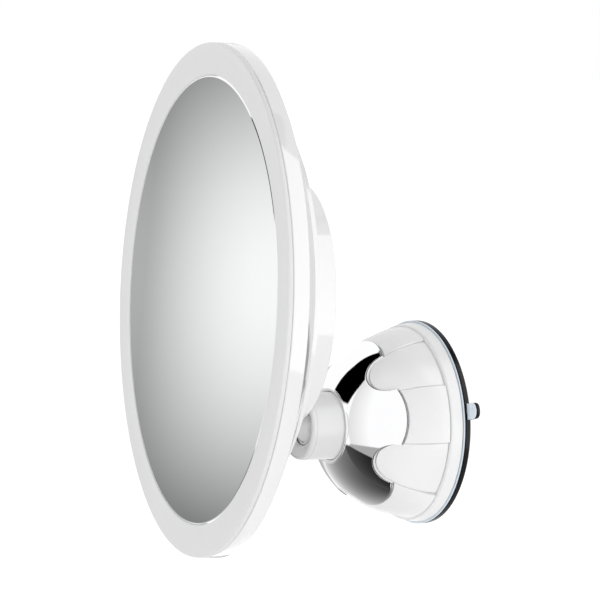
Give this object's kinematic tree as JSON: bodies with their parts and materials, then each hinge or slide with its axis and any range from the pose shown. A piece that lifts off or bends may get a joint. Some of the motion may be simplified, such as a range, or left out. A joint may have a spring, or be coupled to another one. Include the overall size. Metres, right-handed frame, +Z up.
{
  "type": "lighted makeup mirror",
  "caption": "Round lighted makeup mirror on a short ball joint with a twist-lock suction mount for a wall or a larger mirror.",
  "frame": {"origin": "centre of the suction pad's flat wall face", "axes": "+Y points into the wall along the mount's axis, +Z is up, and the mirror looks towards -Y"},
  "size_m": [0.1988, 0.1103, 0.2002],
  "materials": {
    "mirror": "polished",
    "opal_plastic": "satin",
    "white_plastic": "gloss",
    "chrome": "polished",
    "black_rubber": "satin",
    "blue_film": "satin",
    "steel": "satin",
    "nylon": "matte",
    "foam": "matte",
    "light_board": "satin",
    "phosphor": "matte",
    "cable": "satin",
    "black_plastic": "matte",
    "grey_plastic": "matte",
    "green_board": "satin",
    "cell": "satin"
  },
  "bodies": {
    "mount": {"suction_pad": "black_rubber", "tab_film": "blue_film", "pad_backing": "blue_film", "base_ring": "white_plastic", "thrust_washer": "nylon", "barrel": "white_plastic", "barrel_collar": "white_plastic", "barrel_screw": "steel", "socket_spring": "steel"},
    "knob": {"lock_dome": "chrome", "grip_petals": "white_plastic", "cam_ring": "grey_plastic", "cam_screw_1": "steel", "cam_screw_2": "steel", "cam_screw_3": "steel"},
    "stud": {"pull_stud": "grey_plastic", "cross_pin": "steel"},
    "socket_cup": {"pressure_cup": "nylon"},
    "socket_liner": {"ball_liner": "nylon"},
    "head": {"mirror_glass": "mirror", "mirror_tape": "foam", "mirror_tray": "white_plastic", "tray_screw_1": "steel", "tray_screw_2": "steel", "tray_screw_3": "steel", "diffuser_ring": "opal_plastic", "led_board": "light_board", "led_strip": "phosphor", "led_cable": "cable", "front_housing": "white_plastic", "back_cover": "white_plastic", "cover_screw_1": "steel", "cover_screw_2": "steel", "cover_screw_3": "steel", "cover_screw_4": "steel", "battery_tray": "black_plastic", "battery_1": "cell", "battery_2": "cell", "battery_3": "cell", "battery_4": "cell", "battery_contact_left": "steel", "battery_contact_upper": "steel", "battery_contact_right": "steel", "battery_contact_lower_left": "steel", "battery_contact_lower_right": "steel", "battery_door": "white_plastic", "door_screw": "steel", "switch_body": "black_plastic", "switch_board": "green_board", "ball_stud": "white_plastic", "stud_washer": "steel", "stud_nut": "steel"},
    "button": {"power_button": "white_plastic", "switch_plunger": "grey_plastic"}
  },
  "joints": [
    {"name": "lock_knob", "type": "hinge", "parent": "mount", "child": "knob", "pos_m": [0, -0.0082, 0], "axis": [0, 1, 0], "range_deg": [0, 90]},
    {"name": "stud_lift", "type": "slide", "parent": "mount", "child": "stud", "axis": [0, -1, 0], "range_m": [0, 0.003]},
    {"name": "swivel", "type": "hinge", "parent": "mount", "child": "socket_cup", "pos_m": [0, -0.04937, 0], "axis": [0, 1, 0], "continuous": true},
    {"name": "yaw", "type": "hinge", "parent": "socket_cup", "child": "socket_liner", "pos_m": [0, -0.04937, 0], "axis": [0, 0, 1], "range_deg": [-1, 18.5]},
    {"name": "pitch", "type": "hinge", "parent": "socket_liner", "child": "head", "pos_m": [0, -0.04937, 0], "axis": [0.9882, -0.153, 0], "range_deg": [-7, 29]},
    {"name": "power_button_press", "type": "slide", "parent": "head", "child": "button", "axis": [-0.1528, -0.9871, 0.0471], "range_m": [0, 0.0008], "stiffness_N_per_m": 900}
  ],
  "couplings": [
    {"joint": "stud_lift", "follows": "lock_knob", "m_per_rad": 0.0019099}
  ]
}
